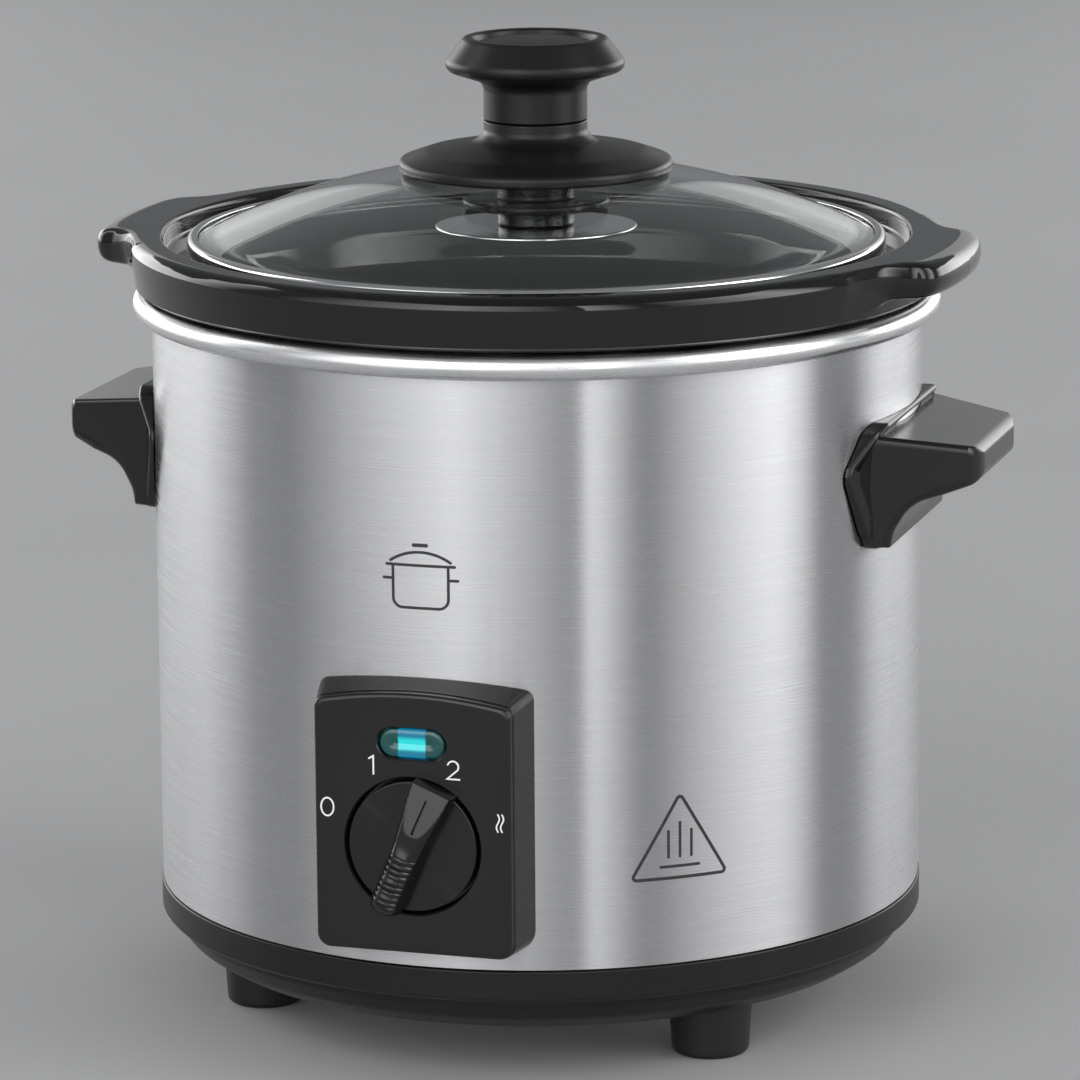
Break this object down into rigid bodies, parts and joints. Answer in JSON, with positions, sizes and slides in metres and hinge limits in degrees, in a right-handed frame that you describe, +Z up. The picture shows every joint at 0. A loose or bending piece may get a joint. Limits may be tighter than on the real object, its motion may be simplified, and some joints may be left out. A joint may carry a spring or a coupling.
{
  "type": "slow cooker",
  "caption": "Round countertop slow cooker: brushed steel casing, removable black ceramic crock with ears, domed glass lid with knob, rotary control and side handles.",
  "frame": {"origin": "centre of the object's box in plan, on the plane the three feet stand on; the cooker's own vertical axis is 4.5 mm behind it, at Y = +0.0045 m", "axes": "+Z up; -Y is the front, where the control panel and dial are; +X and -X are the sides with the handles"},
  "size_m": [0.2414, 0.221, 0.2486],
  "materials": {
    "casing_steel": "stainless steel, fine horizontal brush lines, satin",
    "bead_metal": "smooth polished bead, satin inside the well",
    "satin_black": "satin black moulded plastic, fine grain",
    "gloss_black": "semi-gloss black moulded plastic",
    "foot_black": "dark moulded rubber",
    "gland_rubber": "dark flexible rubber",
    "crock_glaze": "deep black gloss glaze",
    "lid_glass": "clear toughened glass",
    "rim_steel": "polished stainless band",
    "silicone": "grey silicone washer",
    "lens_teal": "translucent teal lens, lit in the middle",
    "lamp_glass": "small glowing lamp",
    "fastener_zinc": "zinc-plated steel",
    "plate_steel": "galvanised sheet steel",
    "spacer_metal": "turned aluminium",
    "switch_ceramic": "unglazed cream ceramic",
    "nylon": "natural nylon",
    "wire_sleeve": "braided glass-fibre sleeve",
    "blank_plate": "blank satin plate"
  },
  "bodies": {
    "base": {"outer_shell": "casing_steel", "heating_well": "bead_metal", "base_ring": "satin_black", "control_panel": "gloss_black", "handle_left": "gloss_black", "handle_right": "gloss_black", "foot_front_left": "foot_black", "foot_front_right": "foot_black", "foot_rear": "foot_black", "cord_gland": "gland_rubber", "indicator_lens": "lens_teal", "indicator_lamp": "lamp_glass", "tie_stud": "fastener_zinc", "tie_washer": "fastener_zinc", "tie_nut": "fastener_zinc", "band_screw": "fastener_zinc", "heater_terminal_left": "fastener_zinc", "heater_terminal_right": "fastener_zinc", "thermal_fuse": "fastener_zinc", "foot_screw_front_left": "fastener_zinc", "foot_screw_front_right": "fastener_zinc", "foot_screw_rear": "fastener_zinc", "handle_screw_left_1": "fastener_zinc", "handle_screw_left_2": "fastener_zinc", "handle_screw_right_1": "fastener_zinc", "handle_screw_right_2": "fastener_zinc", "panel_screw_1": "fastener_zinc", "panel_screw_2": "fastener_zinc", "panel_screw_3": "fastener_zinc", "panel_screw_4": "fastener_zinc", "switch_nut": "fastener_zinc", "bottom_plate": "plate_steel", "heat_shield": "plate_steel", "heater_band": "plate_steel", "tie_spacer": "spacer_metal", "switch_body": "switch_ceramic", "terminal_block": "switch_ceramic", "lead_supply": "nylon", "gland_nut": "nylon", "lamp_holder": "nylon", "lead_switch": "wire_sleeve", "lead_heater": "wire_sleeve", "lead_return": "wire_sleeve", "lead_lamp": "wire_sleeve", "rating_plate": "blank_plate"},
    "crock": {"crock": "crock_glaze"},
    "lid": {"lid_glass": "lid_glass", "lid_rim_band": "rim_steel", "knob_cap": "satin_black", "knob_disc": "satin_black", "knob_skirt": "satin_black", "knob_gasket": "silicone", "boss_gasket": "silicone", "lid_boss": "gloss_black", "drip_plate": "rim_steel", "knob_screw": "fastener_zinc"},
    "dial": {"dial_knob": "gloss_black", "switch_shaft": "fastener_zinc"}
  },
  "joints": [
    {"name": "crock_lift", "type": "slide", "parent": "base", "child": "crock", "axis": [0, 0, 1], "range_m": [0, 0.15]},
    {"name": "lid_lift", "type": "slide", "parent": "crock", "child": "lid", "axis": [0, 0, 1], "range_m": [0, 0.08]},
    {"name": "dial_turn", "type": "hinge", "parent": "base", "child": "dial", "pos_m": [0, -0.102, 0.0652], "axis": [0, 1, 0], "range_deg": [-90, 45]}
  ]
}
